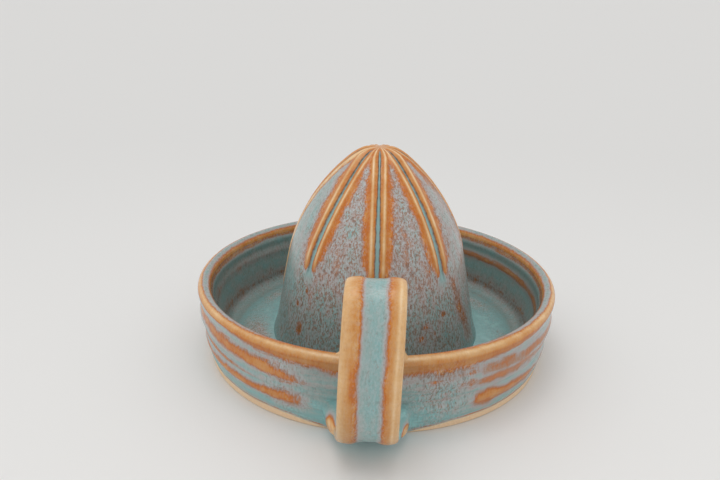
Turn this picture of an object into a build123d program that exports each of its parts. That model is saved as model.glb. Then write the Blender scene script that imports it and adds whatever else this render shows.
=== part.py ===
from build123d import *
import os
from math import acos, asin, atan2, cos, degrees, radians, sin, sqrt, tan

# Ceramic citrus juicer in millimetres: a thrown dish with a fluted, hollow reamer cone in its
# middle, a pulled strap handle and a pouring lip. +Z is up, the origin is on the table at the
# dish's axis, the handle is towards -Y and the lip towards +Y.

# Dish
rim_radius = 75.0  # to the outside of the rim
dish_height = 33.0  # from the table to the top of the rim
rim_thickness = 5.2  # the rim is a full round bead
foot_radius = 70.1
foot_band = 4.0  # height of the bare band that stands on the table
foot_chamfer = 0.8
foot_flare = 0.6  # how far the wall leaves the foot at the top of the bare band
foot_ring_width = 8.0
foot_recess = 1.5  # the underside is lifted this far inside the foot ring
well_wall = 5.1  # from the inside of the well to the foot's radius
floor_top = 7.5
cove_radius = 5.0
vent_radius = 2.0  # lets the air out of the hollow cone in the kiln
outer_ring_relief = 0.7
inner_ring_relief = 0.45
# Throwing rings: height up the wall, and how far each stands out, as shares
outer_ring_shares = [
    (0.07, 0.6), (0.145, -0.1), (0.245, 0.8), (0.34, 0.0), (0.415, 0.25),
    (0.49, -0.1), (0.625, 1.0), (0.83, -0.4),
]
inner_ring_shares = [(0.45, 0.2), (0.62, 0.8), (0.75, 0.0), (0.87, 1.0)]

# Pouring lip, a flared half cup on the rim
lip_reach = 8.5  # beyond the rim
lip_radius = 15.5
lip_foot_radius = 4.0
lip_wall = 5.2
lip_depth = 18.0  # from the centre of the rim bead down to where the lip dies into the wall
lip_well_depth = 14.0
lip_well_radius = 1.5

# Reamer cone
cone_radius = 43.6  # at the floor, before its small flare
cone_top = 88.2
cone_taper = 11.2  # degrees from upright, low on the cone
nose_radius = 18.0
flank_radius = 75.0
cone_wall = 6.0
cone_flare = 2.2
cone_flare_height = 3.2

# Flutes of the cone
flute_count = 8
flute_depth = 1.9
channel_radius = 1.15
shoulder_radius = 6.0  # the rounded hollow that leads down to each channel
shoulder_depth = 0.7
channel_start = 3.6  # from the cone's axis to the top of each channel
shoulder_start = 7.6
flute_bottom = 45.0  # height at which the flutes start to fade
runout_radius = 9.0
runout_angle = 42.0

# Strap handle
strap_width = 20.3
strap_thickness = 6.3
strap_channel_width = 9.6
strap_round = 2.2
strap_channel_depth = 1.1
handle_reach = 25.6  # from the rim to the outermost face of the strap
handle_top = 68.1
handle_foot_height = 9.2
root_width = 27.0
root_thickness = 6.8
root_height = 6.5
root_lean = 3.4  # how far the strap leans out on its way up from the rim
crown_width = 18.2  # across the top of the loop, between the corners of its route
crown_drop = 0.8
belly_height = 38.0
foot_reach = 23.9  # from the foot of the wall to the strap's lower corner
root_bend = 9.2
crown_bend = 10.8
belly_bend = 60.0
lower_bend = 16.0

# Pad of clay under the foot of the strap
pad_width = 25.0
pad_height = 10.6
pad_stand_out = 5.0  # from the dish's wall
pad_round = 1.6
pad_spread = 20.0  # degrees by which its sides open towards the wall

overrun = 4.0  # how far cutting tools run past what they cut

# Places that several pieces share
bead_radius = rim_thickness / 2
bead_height = dish_height - bead_radius
bead_circle = rim_radius - bead_radius
rim_inside = rim_radius - rim_thickness
wall_foot = foot_radius + foot_flare
well_radius = foot_radius - well_wall
wall_rise = bead_height - foot_band
cove_top = floor_top + cove_radius


def outer_wall(share):
    """Radius of the plain outer wall, without its rings, at a share of its height."""
    return wall_foot + (rim_radius - wall_foot) * share


def ringed_points(shares, relief, low, high):
    """Points of a wall from low to high, each moved out by its share of the relief."""
    return [
        (low[0] + (high[0] - low[0]) * height + relief * out, low[1] + (high[1] - low[1]) * height)
        for height, out in shares
    ]


# Dish: an outer body of revolution with the lip on it, and the bowl cut out of both
lip_place = rim_radius + lip_reach - lip_radius
lip_centre = Plane((0, lip_place, bead_height), x_dir=(1, 0, 0), z_dir=(0, -1, 0))
lip_axis = Axis(lip_centre.origin, (0, 0, 1))
lip_bead_circle = lip_radius - lip_wall / 2

with BuildPart() as lip_cup:
    with BuildSketch(lip_centre):
        with BuildLine():
            Polyline(
                (lip_radius - lip_wall, 0),
                (lip_well_radius, -lip_well_depth),
                (0, -lip_well_depth),
                (0, -lip_depth),
                (lip_foot_radius, -lip_depth),
                (lip_radius, 0),
            )
            CenterArc((lip_bead_circle, 0), lip_wall / 2, 0, 180)
        make_face()
    revolve(axis=lip_axis)

with BuildPart() as lip_gap:
    with BuildSketch(lip_centre):
        with BuildLine():
            Polyline(
                (0, -lip_depth + lip_wall / 2),
                (lip_foot_radius - lip_wall / 2, -lip_depth + lip_wall / 2),
                (lip_bead_circle, 0),
                (lip_bead_circle, overrun),
                (0, overrun),
                close=True,
            )
        make_face()
    revolve(axis=lip_axis)

with BuildPart() as bowl:
    with BuildSketch(Plane.XZ):
        with BuildLine():
            bottom = (well_radius, cove_top)
            brim = (rim_inside, bead_height)
            Line((0, floor_top), (well_radius - cove_radius, floor_top))
            CenterArc((well_radius - cove_radius, cove_top), cove_radius, -90, 90)
            Spline(bottom, *ringed_points(inner_ring_shares, -inner_ring_relief, bottom, brim), brim)
            CenterArc((bead_circle, bead_height), bead_radius, 90, 90)
            Polyline(
                (bead_circle, dish_height),
                (bead_circle, dish_height + overrun),
                (0, dish_height + overrun),
                (0, floor_top),
            )
        make_face()
    revolve(axis=Axis.Z)

with BuildPart() as dish:
    with BuildSketch(Plane.XZ):
        with BuildLine():
            low = (wall_foot, foot_band)
            high = (rim_radius, bead_height)
            Polyline(
                (0, foot_recess),
                (foot_radius - foot_ring_width, foot_recess),
                (foot_radius - foot_ring_width + foot_recess, 0),
                (foot_radius - foot_chamfer, 0),
                (foot_radius, foot_chamfer),
                low,
            )
            Spline(low, *ringed_points(outer_ring_shares, outer_ring_relief, low, high), high)
            CenterArc((bead_circle, bead_height), bead_radius, 0, 90)
            Polyline((bead_circle, dish_height), (0, dish_height), (0, foot_recess))
        make_face()
    revolve(axis=Axis.Z)
    add(lip_gap.part, mode=Mode.SUBTRACT)
    add(lip_cup.part)
    add(bowl.part, mode=Mode.SUBTRACT)
    with Locations((0, 0, floor_top)):
        Hole(vent_radius)

# Reamer cone: its outline is a straight taper, a long flank arc and a nose arc, all tangent
taper = radians(cone_taper)
nose_centre = (0, cone_top - nose_radius)
# The flank's centre lies on a line parallel to the taper, flank_radius inside it, at the
# distance from the nose's centre at which the two arcs touch
line_x = cone_radius - flank_radius * cos(taper)
line_z = floor_top - flank_radius * sin(taper) - nose_centre[1]
along = line_x * sin(taper) - line_z * cos(taper)
across = (flank_radius - nose_radius) ** 2 - line_x**2 - line_z**2 + along**2
step = along - sqrt(across)
flank_centre = (line_x - step * sin(taper), line_z + step * cos(taper) + nose_centre[1])
nose_angle = degrees(atan2(nose_centre[1] - flank_centre[1], -flank_centre[0]))


def cone_outline(depth):
    """The cone's outline at a depth below its outer face, from the floor to the axis."""
    shoulder = (flank_centre[0] + (flank_radius - depth) * cos(taper),
                flank_centre[1] + (flank_radius - depth) * sin(taper))
    foot = (shoulder[0] + (shoulder[1] - floor_top) * tan(taper), floor_top)
    CenterArc(flank_centre, flank_radius - depth, cone_taper, nose_angle - cone_taper)
    CenterArc(nose_centre, nose_radius - depth, nose_angle, 90 - nose_angle)
    Polyline((0, cone_top - depth), (0, floor_top), foot, shoulder)


def flute_bends(radius, depth, start):
    """Bends of a round cutter that cuts to a depth, from its run-out to start from the axis.

    Each bend is its centre, the radius of its centre line, its first angle and its turn.
    """
    flank_reach = flank_radius - depth + radius
    nose_reach = nose_radius - depth + radius
    low = degrees(asin((flute_bottom - flank_centre[1]) / flank_reach))
    high = degrees(acos(start / nose_reach))
    hinge = (flank_centre[0] + (flank_reach + runout_radius) * cos(radians(low)),
             flank_centre[1] + (flank_reach + runout_radius) * sin(radians(low)))
    return [
        (hinge, runout_radius, low + 180, runout_angle),
        (flank_centre, flank_reach, low, nose_angle - low),
        (nose_centre, nose_reach, nose_angle, high - nose_angle),
    ]


def bend_start(centre, reach, angle):
    """Plane across a bend's centre line at an angle."""
    out = (cos(radians(angle)), sin(radians(angle)))
    origin = (centre[0] + reach * out[0], 0, centre[1] + reach * out[1])
    return Plane(origin, x_dir=(0, 1, 0), z_dir=(-out[1], 0, out[0]))


with BuildPart() as channel_tool:
    for centre, reach, angle, turn in flute_bends(channel_radius, flute_depth, channel_start):
        with BuildSketch(bend_start(centre, reach, angle)):
            Circle(channel_radius)
        revolve(axis=Axis((centre[0], 0, centre[1]), (0, -1, 0)), revolution_arc=turn)

with BuildPart() as shoulder_tool:
    for centre, reach, angle, turn in flute_bends(shoulder_radius, shoulder_depth, shoulder_start):
        with BuildSketch(bend_start(centre, reach, angle)):
            Circle(shoulder_radius)
        revolve(axis=Axis((centre[0], 0, centre[1]), (0, -1, 0)), revolution_arc=turn)

# The cone's seam lies halfway between two flutes
half_pitch = radians(180 / flute_count)
seam = Plane((0, 0, 0), x_dir=(cos(half_pitch), sin(half_pitch), 0),
             z_dir=(sin(half_pitch), -cos(half_pitch), 0))

with BuildPart() as reamer_cone:
    with BuildSketch(seam):
        with BuildLine():
            cone_outline(0)
        make_face()
    revolve(axis=Axis.Z)
    with BuildSketch(seam):
        with BuildLine():
            flare_start = cone_radius - cone_flare_height * tan(taper)
            Polyline(
                (cone_radius + cone_flare, floor_top),
                (cone_radius - cone_wall, floor_top),
                (flare_start - cone_wall / 2, floor_top + cone_flare_height),
                (flare_start, floor_top + cone_flare_height),
            )
            RadiusArc(
                (flare_start, floor_top + cone_flare_height),
                (cone_radius + cone_flare, floor_top),
                -cone_flare_height - cone_flare,
            )
        make_face()
    revolve(axis=Axis.Z)
    with PolarLocations(0, flute_count):
        add(channel_tool.part, mode=Mode.SUBTRACT)
    with PolarLocations(0, flute_count):
        add(shoulder_tool.part, mode=Mode.SUBTRACT)
    with BuildSketch(seam):
        with BuildLine():
            cone_outline(cone_wall)
        make_face()
    revolve(axis=Axis.Z, mode=Mode.SUBTRACT)

# Pad: an oval of clay between the wall and the foot of the strap
pad_share = (handle_foot_height - foot_band) / wall_rise
pad_face = outer_wall(pad_share) + pad_stand_out

with BuildPart() as handle_foot_pad:
    with BuildSketch(Plane((0, -pad_face, handle_foot_height), x_dir=(1, 0, 0), z_dir=(0, 1, 0))):
        SlotOverall(pad_width, pad_height)
    extrude(amount=pad_stand_out + (wall_foot - well_radius) / 2, taper=-pad_spread)
    fillet(handle_foot_pad.faces().sort_by(Axis.Y)[0].edges(), pad_round)
    add(dish.part, mode=Mode.SUBTRACT)

# Handle: a dog-bone strap along a flat loop from the rim to the pad
half_strap = strap_thickness / 2
crown_height = handle_top - half_strap
belly = rim_radius + handle_reach - half_strap
inner_corner = bead_circle + root_lean
outer_corner = inner_corner + crown_width
channel_curve = (strap_channel_width**2 / 4 + strap_channel_depth**2) / (2 * strap_channel_depth)

with BuildPart() as handle:
    with BuildLine(Plane.YZ) as strap_route:
        FilletPolyline(
            (-bead_circle, bead_height),
            (-inner_corner, crown_height),
            (-outer_corner, crown_height - crown_drop),
            (-belly, belly_height),
            (-wall_foot - foot_reach, handle_foot_height),
            (-wall_foot, handle_foot_height),
            radius=[root_bend, crown_bend, belly_bend, lower_bend],
        )
    strap_start = Plane(strap_route.line @ 0, x_dir=(1, 0, 0), z_dir=strap_route.line % 0)
    with BuildSketch(strap_start):
        RectangleRounded(strap_width, strap_thickness, strap_round)
        with Locations((0, half_strap - strap_channel_depth + channel_curve)):
            Circle(channel_curve, mode=Mode.SUBTRACT)
    sweep()
    with BuildSketch(strap_start):
        SlotOverall(root_width, root_thickness)
    with BuildSketch(strap_start.offset(root_height)):
        SlotOverall(strap_width, strap_thickness - strap_channel_depth)
    loft()
    add(dish.part, mode=Mode.SUBTRACT)
    add(handle_foot_pad.part, mode=Mode.SUBTRACT)

dish.part.label = "dish"
reamer_cone.part.label = "reamer_cone"
handle.part.label = "handle"
handle_foot_pad.part.label = "handle_foot_pad"

os.makedirs("parts", exist_ok=True)
export_step(dish.part, "parts/dish.step")
export_step(reamer_cone.part, "parts/reamer_cone.step")
export_step(handle.part, "parts/handle.step")
export_step(handle_foot_pad.part, "parts/handle_foot_pad.step")
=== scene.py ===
import bpy
import numpy as np
from mathutils import Matrix, Vector


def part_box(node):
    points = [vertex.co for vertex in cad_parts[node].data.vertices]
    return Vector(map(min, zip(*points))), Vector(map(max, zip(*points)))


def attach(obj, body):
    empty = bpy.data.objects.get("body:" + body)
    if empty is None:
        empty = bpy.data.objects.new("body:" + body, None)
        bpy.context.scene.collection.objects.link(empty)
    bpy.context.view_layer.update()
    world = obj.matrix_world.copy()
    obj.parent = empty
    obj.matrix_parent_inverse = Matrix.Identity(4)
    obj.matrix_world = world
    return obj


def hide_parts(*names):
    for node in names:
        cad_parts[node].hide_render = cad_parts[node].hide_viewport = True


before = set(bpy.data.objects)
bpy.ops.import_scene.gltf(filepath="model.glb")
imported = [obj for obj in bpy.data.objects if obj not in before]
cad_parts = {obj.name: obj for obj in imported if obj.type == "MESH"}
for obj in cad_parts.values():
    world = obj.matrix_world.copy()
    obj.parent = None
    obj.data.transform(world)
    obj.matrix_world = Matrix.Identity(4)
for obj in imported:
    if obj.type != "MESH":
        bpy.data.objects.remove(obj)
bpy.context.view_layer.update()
mm = 0.001  # shapes are worked out in millimetres and written to the meshes in metres

dishHigh = np.array(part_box("dish")[1]) / mm
coneLow, coneHigh = np.array(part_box("reamer_cone")) / mm


# An S curve from 0 at low to 1 at high: three times the share squared less twice its cube
def smooth(low, high, value):
    share = np.clip((value - low) / (high - low), 0.0, 1.0)
    return share * share * (3.0 - 2.0 * share)


# The same curve the other way, from 1 at low to 0 at high
def fall(low, high, value):
    return 1.0 - smooth(low, high, value)


# A bell of height 1 at centre that has fallen to 1/e one width away
def bump(value, centre, width):
    return np.exp(-(((value - centre) / width) ** 2))


# A sum of bells, by the centre, height and width of each
def bells(value, shapes):
    return sum(height * bump(value, centre, width) for centre, height, width in shapes)


# The value at a place in a table of places and values, on the straight line between two rows
def between(place, table):
    return np.interp(place, *np.array(table).T)


# The larger of two values, with the corner between them rounded over blend: half of their sum and
# of the root of their gap squared plus blend squared
def softMax(one, other, blend):
    return 0.5 * (one + other + np.sqrt((one - other) ** 2 + blend ** 2))


# radians per unit of either measure, start and strength of each sine
waves = [(0.61, 0.23, 0.7, 1.0), (1.13, -0.52, 2.1, 1.0), (1.97, 0.91, 4.0, 0.8),
         (0.37, -1.43, 1.3, 0.6), (3.1, 1.7, 5.2, 0.5)]


# An uneven wave over two measures, mostly within -1 to 1: a third of a sum of sines that never
# line up
def rove(one, other):
    total = 0.0
    for perOne, perOther, start, strength in waves:
        total = total + strength * np.sin(perOne * one + perOther * other + start)
    return total / 3.0


# Signed degrees from centre to angle, by the short way round
def turnBetween(angle, centre):
    return (angle - centre + 180.0) % 360.0 - 180.0


# Points at a distance from the Z axis, at an azimuth in degrees from the handle, and at a height
def around(distance, azimuth, height):
    turn = np.radians(azimuth)
    return np.stack([distance * np.sin(turn), -distance * np.cos(turn), height], axis=-1)


# A skin over a grid of points, rows x columns x 3, closed round the columns. With closeEnds the
# first and last rows each get one more point, the mean of theirs, with a fan of triangles to it.
# Otherwise the last row joins the first. Every attribute is a grid of values for the glaze.
def gridMesh(name, points, attributes, closeEnds):
    rows, columns = points.shape[:2]
    flat = points.reshape(-1, 3)
    row = np.arange(rows - 1 if closeEnds else rows)[:, None]
    column = np.arange(columns)[None, :]
    below = (row + 1) % rows
    after = (column + 1) % columns
    quads = np.stack([row * columns + column, row * columns + after,
                      below * columns + after, below * columns + column], axis=-1).reshape(-1, 4)
    faces = quads.tolist()
    values = {key: value.reshape(-1) for key, value in attributes.items()}
    if closeEnds:
        first, last = len(flat), len(flat) + 1
        flat = np.vstack([flat, points[0].mean(axis=0), points[-1].mean(axis=0)])
        ring = np.arange(columns)
        turned = (ring + 1) % columns
        end = (rows - 1) * columns
        faces += np.stack([turned, ring, np.full(columns, first)], axis=-1).tolist()
        faces += np.stack([end + ring, end + turned, np.full(columns, last)], axis=-1).tolist()
        for key, value in attributes.items():
            values[key] = np.append(values[key], [value[0].mean(), value[-1].mean()])
    mesh = bpy.data.meshes.new(name)
    mesh.from_pydata(flat * mm, [], faces)
    mesh.shade_smooth()
    for key, value in values.items():
        layer = mesh.attributes.new(key, "FLOAT", "POINT")
        layer.data.foreach_set("value", value.astype(np.float32))
    piece = bpy.data.objects.new(name, mesh)
    bpy.context.collection.objects.link(piece)
    print(name, len(mesh.polygons), "faces")
    return piece


# Glazed stoneware

# An sRGB hex colour as linear red, green, blue and alpha
def linear(code):
    channels = np.array([int(code[place:place + 2], 16) for place in (1, 3, 5)]) / 255.0
    low = channels / 12.92
    high = ((channels + 0.055) / 1.055) ** 2.4
    return (*np.where(channels <= 0.04045, low, high), 1.0)


# Adds a shader node with its settings, fills or links its inputs, and gives the output that is
# named, or the node itself where none is
def addNode(tree, kind, output, inputs=None, **settings):
    node = tree.nodes.new("ShaderNode" + kind)
    for key, value in settings.items():
        setattr(node, key, value)
    for key, value in (inputs or {}).items():
        if isinstance(value, bpy.types.NodeSocket):
            tree.links.new(value, node.inputs[key])
        else:
            node.inputs[key].default_value = value
    return node.outputs[output] if output else node


glaze = {
    # Breaking rutile glaze, poured and fired on buff stoneware. Its colour tells how thick it lies:
    # it runs off the edges, where the clay's iron burns through it cream, tan and orange, floats
    # lilac grey where it is middling, and pools blue-green
    "stops": [
        (0.00, "#F2D2A6"), (0.08, "#E6BB86"), (0.16, "#D9A468"), (0.24, "#D08C44"),
        (0.31, "#C66C10"), (0.37, "#B87242"), (0.43, "#AD8A74"), (0.50, "#B2A5A3"),
        (0.60, "#A9B0AE"), (0.72, "#93B0AE"), (0.86, "#84B5B6"), (1.00, "#9ACFCF"),
    ],
    "runStretch": (1.0, 1.0, 0.42),  # the glaze ran down while it was molten, so its specks are tall
    "drawStretch": (0.17, 0.17, 1.0),  # the wheel drew the slip out into lines round the axis
    "apart": (0.31, 0.17, 0.23),  # m, keeps two patterns from lining up
    # the space that each pattern lies in, mm from blotch to blotch, octaves and their roughness
    "patterns": {
        "rust": ("run", 0.62, 4.0, 0.65),  # rutile and iron
        "pale": ("apart", 0.7, 3.0, 0.6),  # milky rutile
        "iron": ("apart", 1.5, 2.0, 0.6),  # single spots
        "clouds": ("run", 3.4, 3.0, 0.6),  # drifts of thicker glaze
        "drift": ("place", 16.0, 2.0, 0.5),  # slow change over the piece
        "lines": ("drawn", 1.5, 3.0, 0.6),  # throwing lines
        "grain": ("place", 0.5, 4.0, 0.7),  # of the bare clay
    },
    # what a pattern adds to the thickness where the glaze is plain, and more where it is mottled
    "depths": [("clouds", 0.022, 0.17), ("rust", 0.016, 0.08), ("drift", 0.025, 0.0)],
    "lineDepth": 0.13,
    # pattern, colour, the noise at which its specks begin and are full, how much sooner they do so
    # where the glaze is mottled and where its clouds lie, and strength
    "specks": [
        ("pale", "#C0CACF", 0.47, 0.59, 0.0, 0.0, 0.72),
        ("rust", "#9A6444", 0.60, 0.67, 0.12, 0.02, 0.85),
        ("iron", "#704A30", 0.62, 0.65, 0.0, 0.0, 0.5),
    ],
    # the same olive also paints shade, in the well, along the channels and low on the cone
    "darkColour": "#464A3E",  # a smoky olive, where the glaze is stained
    "roughness": 0.22,  # a fired gloss gone slightly satin
    "ior": 1.5,
    "rippleHeight": 0.04,  # mm
    "ripples": [("clouds", 0.8), ("rust", 0.2)],  # pattern, and its share of the ripple
    "clay": "#F8DDBC",
    "clayDark": "#E6C49B",
    "clayRoughness": 0.75,
}


# The glaze's material. Its thickness is the mesh's own plus each pattern times its depth, a ramp
# turns that to colour, and specks, stains, painted shade and bare clay are mixed over it.
def breakingGlaze():
    material = bpy.data.materials.new("breaking_glaze_on_stoneware")
    material.use_nodes = True
    tree = material.node_tree
    tree.nodes.clear()
    place = addNode(tree, "TexCoord", "Object")
    run = addNode(tree, "Mapping", "Vector", {"Vector": place, "Scale": glaze["runStretch"]})
    apart = addNode(tree, "Mapping", "Vector", {"Vector": run, "Location": glaze["apart"]})
    drawn = addNode(tree, "Mapping", "Vector", {"Vector": place, "Scale": glaze["drawStretch"]})
    spaces = {"place": place, "run": run, "apart": apart, "drawn": drawn}
    noise, swing, skin = {}, {}, {}
    for name, (space, size, octaves, roughness) in glaze["patterns"].items():
        noise[name] = addNode(tree, "TexNoise", "Fac", {
            "Vector": spaces[space], "Scale": 1.0 / (size * mm), "Detail": octaves, "Roughness": roughness})
    for name in ("clouds", "rust", "drift", "lines"):
        swing[name] = addNode(tree, "MapRange", "Result", {
            "Value": noise[name], "From Min": 0.3, "From Max": 0.7, "To Min": -1.0, "To Max": 1.0})
    for name in ("thickness", "mottle", "dark", "bare", "thrown"):
        skin[name] = addNode(tree, "Attribute", "Fac", attribute_name=name)

    # Thickness, uneven in drifts and finely broken
    addUp = {"operation": "MULTIPLY_ADD"}
    thick = skin["thickness"]
    for name, plain, mottled in glaze["depths"]:
        depth = addNode(tree, "Math", "Value", {0: skin["mottle"], 1: mottled, 2: plain}, **addUp)
        thick = addNode(tree, "Math", "Value", {0: swing[name], 1: depth, 2: thick}, **addUp)
    depth = addNode(tree, "Math", "Value", {0: skin["thrown"], 1: glaze["lineDepth"]}, operation="MULTIPLY")
    thick = addNode(tree, "Math", "Value", {0: swing["lines"], 1: depth, 2: thick}, **addUp)
    ramp = addNode(tree, "ValToRGB", None, {"Fac": thick})
    points = ramp.color_ramp.elements
    for number, (stop, code) in enumerate(glaze["stops"]):
        point = points[number] if number < 2 else points.new(stop)
        point.position = stop
        point.color = linear(code)
    colour = ramp.outputs["Color"]

    # Specks float where the glaze is mottled
    for name, code, begins, full, perMottle, perCloud, strength in glaze["specks"]:
        height = addNode(tree, "Math", "Value", {0: skin["mottle"], 1: perMottle, 2: noise[name]}, **addUp)
        height = addNode(tree, "Math", "Value", {0: swing["clouds"], 1: perCloud, 2: height}, **addUp)
        share = addNode(tree, "MapRange", "Result", {
            "Value": height, "From Min": begins, "From Max": full, "To Max": strength})
        share = addNode(tree, "Math", "Value", {0: share, 1: skin["mottle"]}, operation="MULTIPLY")
        colour = addNode(tree, "MixRGB", "Color", {"Fac": share, "Color1": colour, "Color2": linear(code)})

    # Stains and painted shade, and the clay where no glaze was poured
    colour = addNode(tree, "MixRGB", "Color", {
        "Fac": skin["dark"], "Color1": colour, "Color2": linear(glaze["darkColour"])})
    share = addNode(tree, "MapRange", "Result", {
        "Value": noise["grain"], "From Min": 0.35, "From Max": 0.65})
    clay = addNode(tree, "MixRGB", "Color", {
        "Fac": share, "Color1": linear(glaze["clay"]), "Color2": linear(glaze["clayDark"])})
    colour = addNode(tree, "MixRGB", "Color", {"Fac": skin["bare"], "Color1": colour, "Color2": clay})

    ripple = 0.0
    for name, share in glaze["ripples"]:
        ripple = addNode(tree, "Math", "Value", {0: swing[name], 1: share, 2: ripple}, **addUp)
    surface = addNode(tree, "Bump", "Normal", {
        "Height": ripple, "Strength": 1.0, "Distance": glaze["rippleHeight"] * mm})
    gloss = addNode(tree, "MapRange", "Result", {
        "Value": skin["bare"], "To Min": glaze["roughness"], "To Max": glaze["clayRoughness"]})
    shader = addNode(tree, "BsdfPrincipled", "BSDF", {
        "Base Color": colour, "Roughness": gloss, "IOR": glaze["ior"], "Normal": surface})
    addNode(tree, "OutputMaterial", None, {"Surface": shader})
    return material


glazeMaterial = breakingGlaze()
print("glaze done")


# Dish

# the parts of its section, in the order that the skin runs
underside, outerWall, rimBead, innerWall, wellFloor = range(5)

dish = {
    "rimRadius": dishHigh[0],
    "height": dishHigh[2],
    "rimThickness": 5.2,
    "footRadius": 70.1,
    "footFlare": 0.6,
    "footBand": 4.0,
    "footChamfer": 0.8,
    "footRingWidth": 8.0,
    "recess": 1.5,
    "wellRadius": 65.0,
    "floorTop": coneLow[2],
    "cove": 5.0,
    "vent": 2.0,
    # height above the table, stand-out and half width of each throwing ring, in mm
    "outerRings": [(5.9, 0.4, 1.1), (10.4, 0.9, 2.0), (15.4, 0.45, 1.0), (20.9, 1.0, 2.7),
                   (26.6, -0.4, 1.3)],
    "innerRings": [(27.6, 0.4, 1.4), (22.6, 0.35, 1.8)],
    "floorRings": [(56.0, 0.25, 1.6), (50.0, 0.12, 1.2)],  # distance from the axis, height, half width
    "lipReach": dishHigh[1] - dishHigh[0],
    "lipRadius": 15.5,
    "lipFoot": 4.0,
    "lipWall": 5.2,
    "lipDepth": 18.0,
    "lipWellDepth": 14.0,
    "lipWellRadius": 1.5,
    "lipBlend": 1.6,
    "columns": 380,
    "lipCrowding": 1.4,  # how much closer together the columns lie at the lip
    "rows": {"recess": 12, "ringSide": 5, "ring": 6, "chamfer": 7, "wall": 80, "rim": 34,
             "inner": 44, "cove": 12, "floor": 44},

    # Glaze on the outer wall. Azimuths are in degrees from the handle, to the right as seen from it.
    # Each band of thin glaze is a row of places: azimuth, height above the table, half height and
    # how much thinner the glaze is there
    "bands": [
        [(-180, 24.0, 1.9, 0.42), (-80, 25.0, 1.9, 0.42), (-62, 24.6, 2.2, 0.42), (-45, 23.4, 2.9, 0.46),
         (-34, 22.3, 2.9, 0.48), (-25, 21.0, 2.6, 0.45), (-21, 20.4, 1.7, 0.30), (-17, 20.2, 1.0, 0.0)],
        [(-180, 16.4, 1.3, 0.40), (-90, 15.8, 1.3, 0.38), (-61, 15.6, 1.5, 0.36), (-45, 15.4, 1.1, 0.34),
         (-38, 15.3, 0.8, 0.28), (-32, 15.4, 0.5, 0.0)],
        [(-180, 10.2, 1.6, 0.44), (-61, 10.5, 1.6, 0.40), (-45, 10.8, 2.1, 0.42), (-33, 10.7, 2.2, 0.45),
         (-27, 10.6, 3.1, 0.44), (-22, 10.6, 3.2, 0.36), (-17, 10.4, 2.6, 0.0)],
        [(25, 24.0, 1.6, 0.0), (33, 23.6, 2.5, 0.24), (40, 23.3, 2.7, 0.31), (50, 23.1, 2.6, 0.32),
         (62, 22.7, 2.2, 0.32), (110, 24.0, 1.9, 0.42), (180, 24.0, 1.9, 0.42)],
        [(22, 18.8, 1.8, 0.0), (30, 18.8, 2.8, 0.32), (40, 18.6, 3.1, 0.38), (50, 18.5, 3.0, 0.35),
         (62, 18.2, 2.5, 0.33), (120, 17.4, 1.6, 0.38), (180, 16.4, 1.3, 0.40)],
        [(29, 10.0, 2.8, 0.0), (32, 10.0, 4.0, 0.44), (37.5, 10.0, 4.1, 0.50), (40.5, 10.0, 2.6, 0.47),
         (50, 9.9, 2.7, 0.46), (62, 8.9, 2.3, 0.42), (90, 9.6, 1.8, 0.42), (180, 10.2, 1.6, 0.44)],
    ],
    # azimuth, and the height above which the rim's thin glaze begins
    "rimEdge": [(-180, 31.2), (-66, 31.6), (-52, 30.8), (-43, 29.8), (-34, 28.6), (-24, 28.2),
                (-12, 27.4), (10, 27.0), (22, 27.5), (38, 28.3), (50, 28.6), (62, 30.6), (80, 31.4),
                (180, 31.2)],
    # azimuth, and the height at which the glaze stops above the bare foot
    "glazeEdge": [(-180, 3.4), (-60, 3.3), (-26, 3.0), (-19, 1.9), (-13, 0.7), (11, 0.6), (16, 1.6),
                  (24, 2.9), (60, 3.3), (180, 3.4)],
    "wander": 0.28,  # mm, how far the bands and edges wander
    "ground": 0.70,  # thickness of the glaze between the bands
    "band": 0.24,  # and in the middle of a band
    # thinner washes beside the handle: azimuth, half width, heights at which each begins and is
    # full, and depth
    "washes": [(-15.0, 6.0, 16.0, 20.0, 0.07), (19.0, 9.5, 8.0, 11.0, 0.02),
               (19.0, 9.5, 19.0, 24.0, 0.16), (-27.0, 6.0, 12.0, 15.0, 0.08)],
    # Thickness of the glaze on the rim, in the well and in the pool on its floor
    "rim": 0.21,
    "well": 0.78,
    "pool": 0.91,
    "wellBand": 22.8,  # height of the thin band half way up the well
}


# Radius of the outer wall at a height: a straight taper, and a bell for each throwing ring
def wallRadius(height):
    foot = dish["footRadius"] + dish["footFlare"]
    brim = dish["height"] - dish["rimThickness"] / 2
    share = np.clip((height - dish["footBand"]) / (brim - dish["footBand"]), 0, 1)
    radius = foot + (dish["rimRadius"] - foot) * share
    radius = radius - dish["footFlare"] * fall(dish["footChamfer"], dish["footBand"] + 1, height)
    return radius + bells(height, dish["outerRings"])


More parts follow.
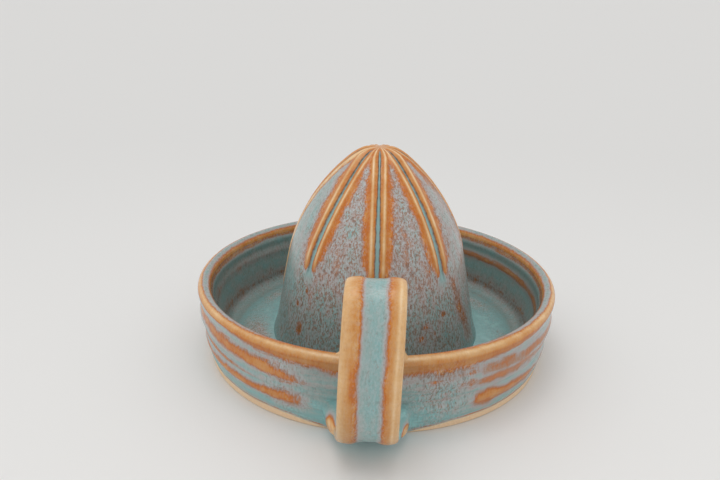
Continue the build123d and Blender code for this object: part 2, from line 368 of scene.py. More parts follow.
# The dish's section from the vent under it, round the foot, wall and rim, to the floor: a half turn
# over the rim, quarter turns at the foot's edge and in the cove, a parabola inside the foot ring
# and straight lines between, with the throwing rings on them. Gives each row's radius, height and
# part.
def dishProfile():
    rows = dish["rows"]
    bead = dish["rimThickness"] / 2
    beadHeight = dish["height"] - bead
    beadCircle = dish["rimRadius"] - bead
    ringInside = dish["footRadius"] - dish["footRingWidth"]
    coveTop = dish["floorTop"] + dish["cove"]
    coveInside = dish["wellRadius"] - dish["cove"]
    parts = []
    radius = np.linspace(dish["vent"], ringInside, rows["recess"])
    parts.append((radius, np.full(len(radius), dish["recess"]), underside))
    share = np.linspace(0.0, 1.0, rows["ringSide"])[1:]
    parts.append((ringInside + dish["recess"] * share, dish["recess"] * (1 - share ** 2), underside))
    ringOutside = dish["footRadius"] - dish["footChamfer"]
    radius = np.linspace(ringInside + dish["recess"], ringOutside, rows["ring"])[1:]
    parts.append((radius, np.zeros(len(radius)), underside))
    turn = np.radians(np.linspace(-90.0, 0.0, rows["chamfer"]))[1:]
    parts.append((dish["footRadius"] + dish["footChamfer"] * (np.cos(turn) - 1),
                  dish["footChamfer"] * (np.sin(turn) + 1), outerWall))
    height = np.linspace(dish["footChamfer"], beadHeight, rows["wall"])[1:]
    parts.append((wallRadius(height), height, outerWall))
    turn = np.radians(np.linspace(0.0, 180.0, rows["rim"]))[1:]
    parts.append((beadCircle + bead * np.cos(turn), beadHeight + bead * np.sin(turn), rimBead))
    height = np.linspace(beadHeight, coveTop, rows["inner"])[1:]
    share = (height - coveTop) / (beadHeight - coveTop)
    inner = dish["wellRadius"] + (dish["rimRadius"] - dish["rimThickness"] - dish["wellRadius"]) * share
    parts.append((inner - bells(height, dish["innerRings"]), height, innerWall))
    turn = np.radians(np.linspace(0.0, -90.0, rows["cove"]))[1:]
    parts.append((coveInside + dish["cove"] * np.cos(turn), coveTop + dish["cove"] * np.sin(turn), innerWall))
    radius = np.linspace(coveInside, dish["vent"], rows["floor"])[1:]
    parts.append((radius, dish["floorTop"] + bells(radius, dish["floorRings"]), wellFloor))
    return (np.concatenate([part[0] for part in parts]), np.concatenate([part[1] for part in parts]),
            np.concatenate([np.full(len(part[0]), part[2]) for part in parts]))


# Distance from the dish's axis to the flared lip's face: where a line at the azimuth leaves a circle
# about the lip's centre, whose size grows in two straight steps from the lip's foot to the rim. It
# is 0 where the line misses that circle.
def lipRadius(azimuth, height, outside):
    centre = dish["rimRadius"] + dish["lipReach"] - dish["lipRadius"]
    brim = dish["height"] - dish["rimThickness"] / 2
    if outside:
        depth, foot, top = dish["lipDepth"], dish["lipFoot"], dish["lipRadius"]
    else:
        depth, foot, top = dish["lipWellDepth"], dish["lipWellRadius"], dish["lipRadius"] - dish["lipWall"]
    size = np.interp(height, [brim - depth - foot, brim - depth, brim], [0.0, foot, top])
    turn = np.radians(turnBetween(azimuth, 180.0))
    inside = size ** 2 - (centre * np.sin(turn)) ** 2
    reach = centre * np.cos(turn) + np.sqrt(np.maximum(inside, 0.0))
    return np.where((inside > 0) & (np.cos(turn) > 0), reach, 0.0)


# Glaze over the outer wall: a ground that pools above the foot and round the handle's joint, less
# the washes, and drawn towards a thin target as far as the bands and the rim's edge cover it.
# Gives thickness, mottling, bare clay, throwing lines and stain.
def wallGlaze(azimuth, height):
    wander = dish["wander"] * rove(azimuth / 3.0, height / 4.0)
    right = bump(azimuth, 19.0, 9.5)
    # thicker above the foot, thinner under the rim
    ground = dish["ground"] + 0.08 * (fall(4.0, 9.0, height) - bump(height, 27.0, 1.5))
    for centre, half, low, high, depth in dish["washes"]:
        ground = ground - depth * bump(azimuth, centre, half) * smooth(low, high, height)
    ground = ground + 0.06 * right * rove(azimuth / 4.0, height * 1.1)
    cover = np.zeros_like(ground)
    for band in dish["bands"]:
        places, heights, halves, depths = np.array(band).T
        away = (height - np.interp(azimuth, places, heights) - wander) / np.interp(azimuth, places, halves)
        patchy = 1 + 0.12 * rove(azimuth / 2.2, height * 0.7)
        depth = np.interp(azimuth, places, depths, left=0.0, right=0.0) * patchy
        cover = np.maximum(cover, 2.2 * depth * np.exp(-np.abs(away) ** 2.6))  # flat in its middle
    soft = 1.4 + 2.4 * bump(azimuth, 4.0, 26.0)  # mm, the rim's edge is softest over the handle
    rim = smooth(-soft, 1.0, height + wander - between(azimuth, dish["rimEdge"]))
    cover = np.clip(np.maximum(cover, rim), 0.0, 1.0)
    target = dish["band"] + (0.07 - 0.10 * bump(azimuth, 0.0, 27.0)) * rim
    joint = 0.42 * bump(azimuth, 0.0, 15.0) * bump(height, 7.0, 6.5)  # it pools at the handle's foot

    mottle = 0.26 + 0.5 * right + 0.4 * bump(azimuth, -26.0, 7.0) - 0.8 * joint
    mottle = (mottle - 0.2 * bump(height, 5.5, 2.5)) * (1 - 0.85 * smooth(0.5, 0.95, cover))
    mottle = mottle + 0.7 * cover * (1 - cover)  # most along the edges of the bands
    mottle = mottle * (1 - 0.65 * smooth(26.0, 36.0, azimuth) * fall(70.0, 100.0, azimuth))
    thrown = 1 - 0.85 * smooth(0.2, 0.7, cover)
    darkening = np.maximum(bump(azimuth, -15.0, 7.0), right) * smooth(9.0, 15.0, height)
    darkening = (0.14 + 0.1 * smooth(20.0, 25.0, height)) * darkening * fall(0.2, 0.6, cover)
    darkening = darkening + 0.07 * smooth(0.1, 0.5, cover) + rim * (0.06 + 0.1 * bump(azimuth, 0.0, 25.0))
    edge = between(azimuth, dish["glazeEdge"]) + 0.4 * wander
    bare = fall(edge - 0.2, edge + 0.2, height)
    thick = ground + (target - ground) * cover + joint
    thick = thick - 0.45 * bump(height, edge + 0.45, 0.35)  # a thin tan line where the glaze ends
    return thick, np.clip(mottle, 0.05, 1.0), bare, thrown, darkening


# The dish: its section turned round the axis, and its walls moved out to the lip's where that lies
# further out
def makeDish():
    radius, height, section = dishProfile()
    columns = dish["columns"]
    spread = np.linspace(0.0, 360.0, 1441)  # every quarter of a degree
    density = 1.0 + dish["lipCrowding"] * bump(spread, 180.0, 15.0)
    total = np.concatenate([[0.0], np.cumsum(0.5 * (density[1:] + density[:-1]))])
    azimuth = turnBetween(np.interp(np.arange(columns) / columns * total[-1], total, spread), 0.0)
    grid = np.broadcast_to(azimuth, (len(radius), columns))
    plain = np.repeat(radius[:, None], columns, axis=1)
    level = np.repeat(height[:, None], columns, axis=1)
    part = np.repeat(section[:, None], columns, axis=1)
    blend = dish["lipBlend"]
    rounding = 0.5 * (np.sqrt(plain ** 2 + blend ** 2) - plain)  # taken off, so only the lip moves
    outer = softMax(plain, lipRadius(grid, level, True), blend) - rounding
    inner = softMax(plain, lipRadius(grid, level, False), blend) - rounding
    aboveCove = (part == innerWall) & (level > dish["floorTop"] + dish["cove"])
    # The bead of the rim is carried between the two faces
    bead = dish["rimThickness"] / 2
    brim = dish["height"] - bead
    rimOut = softMax(dish["rimRadius"], lipRadius(azimuth, brim, True), blend)
    rimIn = softMax(dish["rimRadius"] - dish["rimThickness"], lipRadius(azimuth, brim, False), blend)
    share = (plain - dish["rimRadius"]) / dish["rimThickness"] + 1
    away = np.select([part == outerWall, part == rimBead, aboveCove],
                     [outer, rimIn + (rimOut - rimIn) * share, inner], plain)
    points = around(away, grid, level)

    thick, mottle, edge, wallThrown, wallStain = wallGlaze(grid, level)
    # Rim: orange outside, cream along its shoulder, where the glaze runs thin and a highlight is also
    # painted, and tan on its crown, and at the sides and back thicker between two thin edges
    onBead = np.degrees(np.arctan2(level - brim, plain - dish["rimRadius"] + bead))
    front = bump(grid, 0.0, 46.0)
    crown = (1 - front) * bump(onBead, 104.0, 32.0)
    # the dip at 58 degrees on the bead paints the shoulder's highlight in cream, over the glaze's own thin
    # break
    rim = dish["rim"] - 0.14 * bump(onBead, 58.0, 21.0) + 0.5 * crown
    rim = rim + 0.34 * front * bump(onBead, 146.0, 17.0) + 0.04 * rove(grid / 4.0, onBead / 25.0)
    rim = rim + (thick - rim) * fall(0.0, 22.0, onBead)  # runs on from the wall
    # Well: bands of thin glaze at its brim, half way up, where they are stronger at the right, and
    # at its foot, and a deep pool on its floor with a thinner ring and a specked patch
    right = smooth(-10.0, 40.0, grid)
    drift = rove(grid / 7.0, level / 2.0)
    well = dish["well"] - 0.46 * smooth(27.6, 29.2, level + 0.4 * drift)
    band = dish["wellBand"]
    well = well - (0.22 + 0.28 * right + 0.06 * drift) * bump(level, band, 2.4 - 0.6 * right)
    well = well - (0.30 + 0.05 * drift) * bump(level, 12.4, 3.4)
    wellMottle = 0.4 + (0.1 - 0.38 * right) * bump(level, band, 3.0) + 0.3 * bump(level, 11.6, 3.0)
    # the inside of the well is darkened all over, partly the glaze's olive-brown tone and partly painted
    # shade, with browner bands near 24 and 14 mm
    wellToneAndShade = 0.46 + 0.1 * bump(level, 24.0, 3.0) + 0.1 * bump(level, 14.0, 5.0)
    drift = rove(grid / 9.0, away / 3.0)
    specked = bump(grid, -70.0, 24.0) * bump(away, 49.5, 4.5)
    pool = dish["pool"] - (0.16 + 0.12 * drift) * bump(away, 54.5, 4.0)
    pool = pool - 0.2 * smooth(57.5, 61.5, away) - 0.2 * specked
    poolMottle = 0.1 + (0.5 + 0.25 * drift) * bump(away, 53.5, 6.0) + 0.9 * specked
    # a darker tone over the whole floor, and painted shade deepening towards the wall where the floor meets
    # it
    poolToneAndShade = 0.2 + 0.18 * smooth(50.0, 60.0, away)

    parts = [part == outerWall, part == rimBead, part == innerWall, part == wellFloor]
    mottle = np.select(parts, [mottle, 0.1 + 0.5 * crown, wellMottle, poolMottle], mottle)
    attributes = {
        "thickness": np.select(parts, [thick, rim, well, pool], 0.5),
        "mottle": np.clip(mottle, 0.05, 1.0),
        "bare": np.select([part == underside, part == outerWall], [1.0, edge], 0.0),
        "dark": np.select(parts, [wallStain, 0.22 * crown + 0.1 * front, wellToneAndShade, poolToneAndShade], 0.0),
        "thrown": np.select(parts, [wallThrown, 0.15, 0.7, 0.0], 0.0),
    }
    return gridMesh("thrown_dish", points, attributes, False)  # the skin runs back down the vent


dishPiece = makeDish()
print("dish done")


# Reamer cone

cone = {
    "baseRadius": 43.6,
    "top": coneHigh[2],
    "floor": coneLow[2],
    "taper": 11.2,  # degrees from upright
    "nose": 18.0,
    "flank": 75.0,
    "wall": 6.0,
    "flare": 0.5,
    "flareHeight": 9.0,
    "flutes": 8,
    "fluteDepth": 0.5,
    "channelHalf": 0.78,
    "ridgeAt": 2.5,  # from the middle of the flute
    "ridgeHeight": 0.6,
    "ridgeWidth": 1.3,
    "fluteBottom": 43.5,
    "unevenness": 0.18,  # mm, the cone isn't quite round
    # azimuth of each flute low on the cone and at its top, in degrees from the handle: cut by hand
    "fluteLow": [0.4, 45.6, 91.0, 135.5, 180.0, -135.0, -97.0, -46.4],
    "fluteHigh": [0.4, 41.5, 89.0, 136.0, 181.0, -134.0, -91.0, -39.5],
    "fluteDrop": [0.0, 0.0, 0.0, 0.0, 0.0, 0.0, 21.0, 0.0],  # mm, how much further down each was cut
    "poleGap": 0.15,  # mm from the last ring to the pole
    "rows": 236,
    "hollowRows": 24,
    "sectorColumns": 40,
    "crowding": 0.35,  # 1 spaces a sector's columns evenly, 0 crowds them into the flute

    # Thickness of the glaze
    "panel": 0.56,
    "orange": 0.30,
    "tan": 0.27,
    "channel": 0.77,
    "spot": 0.33,
    "footPool": 0.85,
    # height, and how far from a flute's middle its orange flanks reach
    "orangeReach": [(42.0, 1.2), (44.0, 3.0), (50.0, 5.4), (62.0, 6.0), (75.0, 5.8), (80.0, 5.2),
                    (84.0, 4.4)],
    "droppedReach": 0.8,  # the share of that beside a flute that was cut further down
    # the rusty run at the right: azimuth at a height, degrees per mm further down, thickness
    "streak": (54.5, 40.5, 0.48, 0.40),
    # where the glaze burnt through: azimuth, height, half width in degrees and half height
    "spots": [(-48.0, 19.5, 3.0, 3.2), (-52.5, 29.0, 1.8, 1.6), (-45.5, 36.0, 1.2, 1.4),
              (-36.0, 25.0, 1.4, 1.3), (43.4, 28.6, 2.0, 1.4), (30.0, 25.6, 1.3, 2.0),
              (26.0, 21.0, 1.1, 1.5), (36.0, 22.0, 1.0, 1.3)],
}


# The cone's outline from the floor to the apex, evenly spaced: a straight taper, a flank arc and a
# nose arc that meet tangent. The taper's length is found from the gap between the two arcs'
# centres, which is the difference of their radii. Gives each row's radius, height and the angle of
# its outward normal.
def coneOutline(rows):
    taper = np.radians(cone["taper"])
    noseHeight = cone["top"] - cone["nose"]
    lineX = cone["baseRadius"] - cone["flank"] * np.cos(taper)
    lineZ = cone["floor"] - cone["flank"] * np.sin(taper) - noseHeight
    along = lineX * np.sin(taper) - lineZ * np.cos(taper)
    across = (cone["flank"] - cone["nose"]) ** 2 - lineX ** 2 - lineZ ** 2 + along ** 2
    step = along - np.sqrt(across)
    centreX = lineX - step * np.sin(taper)
    centreZ = lineZ + step * np.cos(taper) + noseHeight
    turnOver = np.arctan2(noseHeight - centreZ, -centreX)
    lengths = np.cumsum([step, cone["flank"] * (turnOver - taper), cone["nose"] * (np.pi / 2 - turnOver)])
    distance = np.linspace(0.0, lengths[2] - cone["poleGap"], rows)
    lower = [distance < lengths[0], distance < lengths[1]]  # on the taper, below the nose
    angle = np.select(lower, [taper, taper + (distance - lengths[0]) / cone["flank"]],
                      turnOver + (distance - lengths[1]) / cone["nose"])
    radius = np.select(lower, [cone["baseRadius"] - distance * np.sin(taper),
                               centreX + cone["flank"] * np.cos(angle)], cone["nose"] * np.cos(angle))
    height = np.select(lower, [cone["floor"] + distance * np.cos(taper),
                               centreZ + cone["flank"] * np.sin(angle)],
                       noseHeight + cone["nose"] * np.sin(angle))
    return radius, height, angle


# The cone: its outline turned round the axis, then moved along its normal, inwards by the channels
# and outwards by the ridges beside them. Each eighth has a flute in its middle, which is then
# turned to its own azimuth, less and less towards the next flute. The skin runs on over the hollow
# inside, down to the floor.
def makeCone():
    count = cone["flutes"]
    pitch = 360.0 / count
    radius, height, angle = coneOutline(cone["rows"])
    sector = cone["sectorColumns"]
    place = (np.arange(sector) + 0.5) / sector * 2 - 1
    place = cone["crowding"] * place + (1 - cone["crowding"]) * place ** 3
    flute = np.repeat(np.arange(count), sector)
    within = np.tile(place, count)
    azimuth = flute * pitch + within * pitch / 2
    level, away, normal = (np.repeat(line[:, None], len(within), axis=1)
                           for line in (height, radius, angle))
    pitchHalf = away * np.radians(pitch / 2)
    across = np.abs(within) * pitchHalf
    shrink = np.clip(pitchHalf / 3.6, 0.02, 1.0)  # flutes narrow where they meet at the top
    lateral = across / shrink
    drop = np.broadcast_to(np.array(cone["fluteDrop"])[flute], level.shape)
    climb = level + drop
    bottom = cone["fluteBottom"]
    run = smooth(bottom - 2.5, bottom + 1.5, climb)
    start = flute * 2.7  # each channel wobbles in its own way
    wobble = 1 + 0.09 * np.sin(level * 0.9 + start) + 0.06 * np.sin(level * 2.1 + start * 2)
    half = cone["channelHalf"] * wobble * (1 - 0.5 * smooth(58.0, 82.0, level))
    channel = fall(half * 0.7, half * 1.25, lateral) * smooth(3.0, 7.5, away)
    ridge = bump(lateral, cone["ridgeAt"], cone["ridgeWidth"]) * smooth(1.0, 7.0, away)
    ridge = ridge * smooth(bottom - 1.0, bottom + 7.0, climb)
    move = cone["ridgeHeight"] * ridge - cone["fluteDepth"] * shrink * channel * run
    uneven = np.sin(np.radians(azimuth * 2 + 30.0)) * np.sin(level / 9.0) * smooth(0.0, 12.0, away)
    move = move + cone["unevenness"] * uneven
    lift = np.clip(1 - (level - cone["floor"]) / cone["flareHeight"], 0, 1)
    outward = away + move * np.cos(normal) + cone["flare"] * lift ** 2.4
    centres = np.arange(count) * pitch
    before = np.floor(azimuth / pitch).astype(int)
    share = smooth(0.0, 1.0, azimuth / pitch - before)
    turned = azimuth
    for key, weight in [("fluteLow", fall(40.0, 86.0, level)), ("fluteHigh", smooth(40.0, 86.0, level))]:
        own = turnBetween(np.array(cone[key]), centres)
        turned = turned + (own[before % count] * (1 - share) + own[(before + 1) % count] * share) * weight
    shell = around(outward, turned, level + move * np.sin(normal))
    radius, height, angle = coneOutline(cone["hollowRows"])
    radius = np.maximum(radius - cone["wall"] * np.cos(angle), 0.0)
    height = np.maximum(height - cone["wall"] * np.sin(angle), cone["floor"])
    hollow = around(*np.broadcast_arrays(radius[:, None], azimuth, height[:, None]))[::-1]
    points = np.concatenate([hollow, shell])

    # Glaze: cream on the ridges, orange beside them, mottled on the panels, pooled in the channels
    side = turnBetween(turned, 0.0)
    atRight = smooth(50.0, 60.0, side) * smooth(20.0, 32.0, level)
    atSides = smooth(50.0, 66.0, np.abs(side)) * (0.35 + 0.65 * smooth(24.0, 42.0, level))
    panel = cone["panel"] + 0.04 * rove(side / 7.0, level / 6.0) + 0.10 * atSides - 0.09 * atRight
    panel = panel + 0.12 * fall(30.0, 43.0, level) + 0.12 * fall(9.0, 15.0, level)  # thicker low down
    panel = panel + 0.10 * bump(side, -20.0, 7.0) * bump(level, 63.0, 6.0)
    edge = between(climb, cone["orangeReach"]) + 0.55 * rove(level / 2.4, side / 6.0)
    edge = edge * np.where(drop > 0, cone["droppedReach"], 1.0)
    flanks = smooth(42.0, 44.5, climb)
    # the flute on the right limb has little orange
    onLimb = smooth(56.0, 68.0, side) * fall(84.0, 92.0, side) * fall(70.0, 80.0, level)
    orange = fall(edge - 0.9, edge + 1.1, across) * flanks * (1 - 0.8 * onLimb)
    nearTop = smooth(82.5, 84.5, level)
    thick = panel + (cone["orange"] - panel) * np.maximum(orange, nearTop)
    tan = fall(2.4, 3.6, lateral) * smooth(44.0, 50.0, climb) * (1 - 0.7 * onLimb)
    thick = thick + (cone["tan"] - thick) * tan
    cream = bump(lateral, 2.4 + 0.045 * drop, 0.5 + 0.03 * drop) * smooth(43.5, 50.0, climb)
    thick = thick * (1 - cream * np.clip(0.9 + 0.35 * rove(level / 4.0, side / 5.0), 0.0, 1.0))
    # the pool in a channel fans out below its end
    fan = fall(half, half * 1.2 + 0.7 * np.clip(45.5 - climb, 0, 9), lateral)
    fan = fan * smooth(37.0, 43.0, climb) * fall(45.0, 47.0, climb)
    flow = np.maximum(channel * run, fan)
    thick = thick * (1 - flow) + cone["channel"] * flow
    streakSide, streakHeight, streakTurn, streakThick = cone["streak"]
    streak = side + 1.6 * rove(level / 2.5, 0.0) - streakSide - (streakHeight - level) * streakTurn
    streak = np.abs(streak) / (2.0 + 3.4 * fall(24.0, 42.0, level))  # wider further down
    streak = np.exp(-streak ** 3) * fall(39.0, 44.0, level) * smooth(7.0, 13.0, level)
    streakThick = streakThick - 0.05 * bump(level, 28.0, 5.0) + 0.08 * rove(side, level / 1.5)
    thick = thick + (streakThick - thick) * streak
    darkening = np.zeros_like(thick)
    for spotSide, spotHeight, wide, tall in cone["spots"]:
        spot = bump(side, spotSide, wide) * bump(level, spotHeight, tall)
        thick = thick + (cone["spot"] - thick) * smooth(0.2, 0.7, spot)
        darkening = np.maximum(darkening, 0.5 * smooth(0.45, 0.95, spot))
    foot = fall(cone["floor"] + 0.2, cone["floor"] + 1.4, level)
    thick = thick + (cone["footPool"] - thick) * foot

    plain = fall(edge - 1.6, edge + 0.6, across) * flanks
    clean = np.clip(np.maximum(np.maximum(plain, nearTop), flow), 0, 1) * (1 - 0.8 * onLimb)
    mottle = 0.88 - 0.06 * fall(22.0, 44.0, level) - 0.40 * atSides + 0.12 * atRight
    mottle = np.maximum(mottle * (1 - 0.9 * clean), streak) * (1 - 0.8 * foot)
    # broken dark lines along the edges of each channel, painted shade on its steep sides where the glaze also
    # pools thick, and a darker lower half, partly the glaze's olive tone and partly painted shade
    dashes = 0.62 + 0.3 * np.sin(level * 3.1 + start * 3) * np.sin(level * 1.3 + start)
    dashes = dashes * bump(lateral, half * 1.15, 0.24) * run * smooth(3.0, 7.0, away)
    lowToneAndShade = 0.3 * fall(12.0, 44.0, level) + 0.06 * streak
    # painted shade from the channel edges and the lower half joins the burnt-through spots here
    darkening = np.maximum(np.maximum(dashes, darkening), lowToneAndShade + (0.2 - lowToneAndShade) * foot)
    # each is a grid over the shell, and the value that it has inside the hollow
    shades = {"thickness": (np.clip(thick, 0.02, 1.0), 0.5), "mottle": (np.clip(mottle, 0.05, 1.0), 0.0),
              "bare": (np.zeros_like(thick), 1.0), "dark": (darkening, 0.0),
              "thrown": (np.zeros_like(thick), 0.0)}
    attributes = {key: np.concatenate([np.full(hollow.shape[:2], inside), outside])
                  for key, (outside, inside) in shades.items()}
    return gridMesh("fluted_reamer_cone", points, attributes, True)


conePiece = makeCone()
print("cone done")


# Handle

handle = {
    "widths": [(0.0, 20.4), (0.3, 19.7), (0.65, 20.4), (1.0, 21.0)],  # at shares of its length
    "thickness": 6.3,
    "rootThickness": 4.6,
    "channelHalf": 4.3,
    "channelDepth": 1.0,
    "innerHollow": 0.35,
    "squareness": 4.2,
    # how far the clay smeared over the rim reaches beyond the strap, on the left and the right
    "rootFlare": (3.4, 1.8),
    "rootFade": 1.9,
    "footSwell": (1.5, 0.3),  # and how much wider the strap is at its foot
    "rimCircle": dish["rimRadius"] - dish["rimThickness"] / 2,
    "lean": -1.15,  # mm, the foot stands to the left of the root
    # the strap's centre line in the plane x = 0, from the rim over the top to the wall, in mm
    "route": [(-72.4, 30.4), (-72.8, 35.0), (-73.5, 42.0), (-74.7, 50.2), (-76.9, 58.1), (-80.6, 63.2),
              (-85.8, 64.9), (-91.3, 62.2), (-95.0, 55.0), (-96.6, 46.5), (-96.9, 38.0), (-96.1, 29.0),
              (-94.0, 19.8), (-89.4, 12.9), (-82.2, 9.1), (-74.8, 8.2), (-68.6, 8.2)],
    "smoothing": 12,  # how many times the route is evened out
    "rows": 240,
    "ring": 96,
    # Thickness of the glaze
    "rail": 0.14,
    "channel": 0.76,
    "back": 0.5,
}


# A Catmull-Rom curve through the places, sampled evenly along its length. Each stretch is a sum of
# the four places round it, weighted by cubics of the share along it; the ends are held by mirroring
# the first and last place. Then each sample moves half way to the mean of its neighbours, again and again.
def smoothRoute(places, samples):
    places = np.array(places)
    held = np.vstack([2 * places[0] - places[1], places, 2 * places[-1] - places[-2]])
    spans = len(places) - 1
    run = np.linspace(0.0, spans, 4000)  # fine steps, for measuring its length
    span = np.minimum(run.astype(int), spans - 1)
    part = (run - span)[:, None]
    weights = (-part ** 3 + 2 * part ** 2 - part, 3 * part ** 3 - 5 * part ** 2 + 2,
               -3 * part ** 3 + 4 * part ** 2 + part, part ** 3 - part ** 2)
    line = sum(weight * held[span + number] for number, weight in enumerate(weights)) / 2
    length = np.concatenate([[0.0], np.cumsum(np.hypot(*np.diff(line, axis=0).T))])
    even = np.linspace(0.0, length[-1], samples)
    line = np.stack([np.interp(even, length, line[:, 0]), np.interp(even, length, line[:, 1])], axis=-1)
    for _ in range(handle["smoothing"]):
        line[1:-1] = 0.25 * line[:-2] + 0.5 * line[1:-1] + 0.25 * line[2:]
    return line, even


# The strap: a superellipse with a shallow channel along its outer face and a slighter one along its
# inner face, carried along the route at right angles to it, its root spread over the rim
def makeHandle():
    line, along = smoothRoute(handle["route"], handle["rows"])
    tangent = np.gradient(line, axis=0)
    tangent /= np.hypot(*tangent.T)[:, None]
    total = along[-1]
    along = along[:, None]
    share = along / total
    lineY, lineZ = line.T[:, :, None]
    outY, outZ = tangent[:, 1:], -tangent[:, :1]  # away from the finger loop
    angle = np.arange(handle["ring"]) / handle["ring"] * 2 * np.pi
    power = 2 / handle["squareness"]
    across, out = (np.sign(wave) * np.abs(wave) ** power for wave in (np.cos(angle), np.sin(angle)))
    flare, swell = (np.where(across < 0, *handle[key]) for key in ("rootFlare", "footSwell"))
    wide = between(share, handle["widths"]) / 2 + swell * smooth(0.78, 0.9, share)
    wide = wide + flare * np.exp(-np.maximum(along - 2.4, 0.0) / handle["rootFade"])
    x = wide * across
    side = np.abs(x)
    half = handle["rootThickness"] + (handle["thickness"] - handle["rootThickness"]) * smooth(1.0, 8.0, along)
    half = 0.5 * half * (1 - 0.72 * smooth(10.3, 13.2, side))  # the smear is thin
    offset = half * out
    channel = handle["channelDepth"] * fall(handle["channelHalf"] - 2.2, handle["channelHalf"] + 1.6, side)
    channel = channel * smooth(3.0, 10.0, along) * (1 - 0.35 * bump(share, 0.28, 0.08))  # flatter on top
    hollow = handle["innerHollow"] * fall(0.5, 6.5, side)
    reach = np.clip(np.abs(offset) / (half * 0.8), 0, 1)
    offset = np.where(offset > 0, offset - channel * reach, offset + hollow * reach)
    sway = handle["lean"] * smooth(0.25, 0.85, share) + 0.2 * np.sin(along / 17.0)
    # The root follows the curve of the rim
    wrap = handle["rimCircle"] - np.sqrt(handle["rimCircle"] ** 2 - x ** 2)
    wrap = wrap * fall(3.0, 15.0, along)
    points = np.stack([x + sway, lineY + outY * offset + wrap, lineZ + outZ * offset], axis=-1)

    # Glaze: cream rails that turn orange beside the channel, and a pool along it
    face = smooth(-0.2, 0.5, offset / half)
    wobble = 0.12 * np.sin(along / 5.0) + 0.06 * np.sin(along / 2.3 + 1.0)
    inChannel = fall(2.3, 5.2, np.abs(x - 0.25 + wobble)) * face
    lower = smooth(0.55, 0.85, share)
    rail = handle["rail"] + 0.11 * smooth(0.0, 4.0, x) * bump(x, 5.4, 1.7) + 0.06 * bump(x, -5.2, 1.6)
    rail = rail + 0.08 * lower * bump(x, -5.6, 2.2) + 0.12 * bump(x, -5.4, 2.0) * bump(share, 0.60, 0.05)
    rail = rail - 0.04 * smooth(7.6, 9.4, side) + 0.02 * rove(x * 2.0, along / 6.0)
    # a painted highlight along the right rail's edge, where the glaze also runs thin and cream
    rail = rail - 0.11 * bump(x, 7.9, 0.6) * face * smooth(0.25, 0.4, share)  # a pale line on its right
    thick = rail * (1 - inChannel) + handle["channel"] * inChannel
    back = smooth(0.1, 0.7, -offset / half) * fall(6.5, 9.0, side)
    thick = thick * (1 - back) + (handle["back"] + 0.15 * np.sin(along / 11.0)) * back
    mottle = 0.08 + 0.24 * inChannel + 0.25 * bump(side, 4.2, 1.0) * face + 0.5 * back
    darkening = lower * (0.09 + 0.15 * smooth(3.0, 4.5, -x)) * (1 - inChannel)
    attributes = {"thickness": np.clip(thick, 0.02, 1), "mottle": np.clip(mottle, 0.05, 1.0),
                  "bare": np.zeros_like(thick), "dark": darkening, "thrown": np.full_like(thick, 0.1)}
    return gridMesh("strap_handle", points, attributes, True)


handlePiece = makeHandle()
print("handle done")


# Clay smeared between the foot of the strap and the wall

pad = {
    "left": 19.5,
    "right": 16.0,
    "bottom": 0.15,
    "top": 17.0,
    "fullLeft": 6.5,
    "fullRight": 6.0,
    "rise": 13.0,
    # the clay that stands up beside the strap: across, height, half sizes and stand-out, in mm
    "lobes": [(-12.8, 7.9, 3.3, 4.9, 3.2), (10.6, 7.4, 2.1, 3.9, 2.0)],
    "lobeThickness": 0.13,  # of the glaze
    "sink": 0.5,
    "depth": 2.0,  # mm, its back lies this far inside the wall
    "rows": 52,
    "ring": 168,
}


# The clay at the strap's foot: an oval on the wall that climbs to the strap between two S curves,
# with a bell for the lobe on each side. Its edge sinks into the wall and takes the wall's glaze,
# and its skin runs back behind the wall's face.
def makePad():
    angle = np.arange(pad["ring"]) / pad["ring"] * 2 * np.pi
    share = np.linspace(0.015, 1.0, pad["rows"])[:, None]
    reach = np.where(np.cos(angle) < 0, pad["left"], pad["right"])
    x = reach * share * np.cos(angle)
    z = (pad["top"] + pad["bottom"]) / 2 + (pad["top"] - pad["bottom"]) / 2 * share * np.sin(angle)
    full = np.where(x < 0, pad["fullLeft"], pad["fullRight"])
    edge = np.where(x < 0, pad["left"], pad["right"])
    rise = pad["rise"] * fall(full, edge, np.abs(x))
    rise = rise * smooth(pad["bottom"] - 1.5, 7.5, z) * fall(9.5, pad["top"], z)
    lobe = np.zeros_like(rise)
    for across, height, halfWidth, halfHeight, out in pad["lobes"]:
        shape = bump(x, across, halfWidth) * bump(z, height, halfHeight)
        rise = rise + out * shape
        lobe = np.maximum(lobe, shape)
    rise = rise * fall(0.86, 1.0, share) - pad["sink"]
    wall = wallRadius(z)
    turn = np.degrees(np.arcsin(x / wall))
    backRows = slice(None, None, -4)  # the back needs only every fourth row
    front = around(wall + rise, turn, z)
    back = around(wall[backRows] - pad["depth"], turn[backRows], z[backRows])
    points = np.concatenate([front, back])[:, ::-1]
    thick, mottle, bare, thrown, darkening = wallGlaze(turn, z)
    lump = smooth(0.25, 0.75, lobe)
    thick = thick * (1 - lump) + (pad["lobeThickness"] + 0.1 * rove(x * 1.5, z)) * lump
    grids = {"thickness": thick, "mottle": mottle * (1 - lump), "bare": bare,
             "dark": darkening * (1 - lump), "thrown": thrown * (1 - lump)}
    attributes = {key: np.concatenate([grid, grid[backRows]])[:, ::-1] for key, grid in grids.items()}
    return gridMesh("handle_foot_clay", points, attributes, True)


padPiece = makePad()
print("pad done")

for piece, node, slot in [(dishPiece, "dish", "dish_glaze"), (conePiece, "reamer_cone", "cone_glaze"),
                          (handlePiece, "handle", "handle_glaze"),
                          (padPiece, "handle_foot_pad", "handle_glaze")]:
    piece.data.materials.append(glazeMaterial)
    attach(piece, "root")
    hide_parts(node)


# Studio

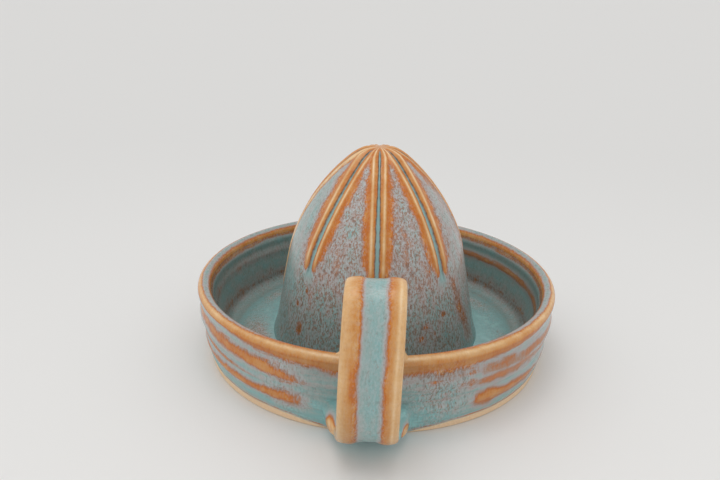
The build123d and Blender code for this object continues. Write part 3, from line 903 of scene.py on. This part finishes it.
studio = {
    "floorColour": "#DCDCDC",
    # a painted pool of light, where the paper is paler in a soft round patch before the juicer: its centre
    # and two radii in m
    "litPoolColour": "#E9E9E9",
    "litPoolCentre": (0.0, -0.35, 0.0),
    "litPoolInside": 0.12,
    "litPoolOutside": 0.75,
    "floorSize": 6.0,  # m
    "tentColour": "#FFFEFC",
    "tentLight": 0.70,  # from all round
    # soft patches overhead: direction, light, and the cosines at which each begins and is full
    "patches": [((-0.2, -0.1, 1.0), 0.24, 0.5, 0.98), ((-0.12, -0.05, 1.0), 1.9, 0.93, 0.975)],
}
camera = {
    # the photograph's view: distance from the aim point in m, then degrees
    "distance": 0.34777,
    "aimHeight": 0.020,
    "elevation": 25.4957,
    "roll": 1.8046,
    "pan": 1.2315,
    "tilt": 4.2426,
    "lens": 40.0,  # mm
    "sensor": 36.0,  # mm wide
    "nearest": 0.01,  # m
}


# A large sheet of matt paper, whose colour runs along an S curve of the distance from the centre of its
# painted pool of light
def makeFloor():
    half = studio["floorSize"] / 2
    mesh = bpy.data.meshes.new("floor")
    mesh.from_pydata([(-half, -half, 0), (half, -half, 0), (half, half, 0), (-half, half, 0)], [],
                     [(0, 1, 2, 3)])
    floor = bpy.data.objects.new("floor", mesh)
    bpy.context.collection.objects.link(floor)
    paper = bpy.data.materials.new("matt_paper")
    paper.use_nodes = True
    tree = paper.node_tree
    place = addNode(tree, "TexCoord", "Object")
    away = addNode(tree, "VectorMath", "Value", {0: place, 1: studio["litPoolCentre"]}, operation="DISTANCE")
    share = addNode(tree, "MapRange", "Result", {
        "Value": away, "From Min": studio["litPoolInside"], "From Max": studio["litPoolOutside"]},
        interpolation_type="SMOOTHSTEP")
    colour = addNode(tree, "MixRGB", "Color", {
        "Fac": share, "Color1": linear(studio["litPoolColour"]), "Color2": linear(studio["floorColour"])})
    shader = tree.nodes["Principled BSDF"]
    tree.links.new(colour, shader.inputs["Base Color"])
    shader.inputs["Roughness"].default_value = 1.0
    shader.inputs["Specular IOR Level"].default_value = 0.0
    mesh.materials.append(paper)


# A white tent all round. Each patch overhead adds its light along an S curve of the cosine between
# its direction and the ray's.
def lightTent():
    world = bpy.data.worlds.new("tent")
    bpy.context.scene.world = world
    world.use_nodes = True
    tree = world.node_tree
    shade = tree.nodes["Background"]
    shade.inputs["Color"].default_value = linear(studio["tentColour"])
    direction = addNode(tree, "TexCoord", "Generated")
    light = studio["tentLight"]
    for place, strength, begins, full in studio["patches"]:
        near = addNode(tree, "VectorMath", "Value", {0: direction, 1: Vector(place).normalized()},
                       operation="DOT_PRODUCT")
        patch = addNode(tree, "MapRange", "Result", {
            "Value": near, "From Min": begins, "From Max": full, "To Max": strength},
            interpolation_type="SMOOTHSTEP")
        light = addNode(tree, "Math", "Value", {0: patch, 1: light}, operation="ADD")
    tree.links.new(light, shade.inputs["Strength"])


# The camera of the photograph: it stands on the handle's side, looks down, and is turned by pan,
# tilt and roll from the line to the aim point
def placeCamera():
    turn = {key: np.radians(camera[key]) for key in ("elevation", "roll", "pan", "tilt")}
    back = Vector((0, -np.cos(turn["elevation"]), np.sin(turn["elevation"])))
    place = Vector((0, 0, camera["aimHeight"])) + back * camera["distance"]
    right = Vector((1, 0, 0))
    up = right.cross(-back)
    pan = Matrix.Rotation(turn["pan"], 3, up)
    forward, right = pan @ -back, pan @ right
    tilt = Matrix.Rotation(turn["tilt"], 3, right)
    forward, up = tilt @ forward, tilt @ up
    roll = Matrix.Rotation(turn["roll"], 3, -forward)
    right, up = roll @ right, roll @ up
    data = bpy.data.cameras.new("camera")
    data.lens = camera["lens"]
    data.sensor_width = camera["sensor"]
    data.clip_start = camera["nearest"]
    view = bpy.data.objects.new("camera", data)
    axes = Matrix((right, up, -forward)).transposed()
    view.matrix_world = Matrix.Translation(place) @ axes.to_4x4()
    bpy.context.collection.objects.link(view)
    bpy.context.scene.camera = view


makeFloor()
lightTent()
placeCamera()
bpy.context.scene.view_settings.view_transform = "Standard"
print("studio done")
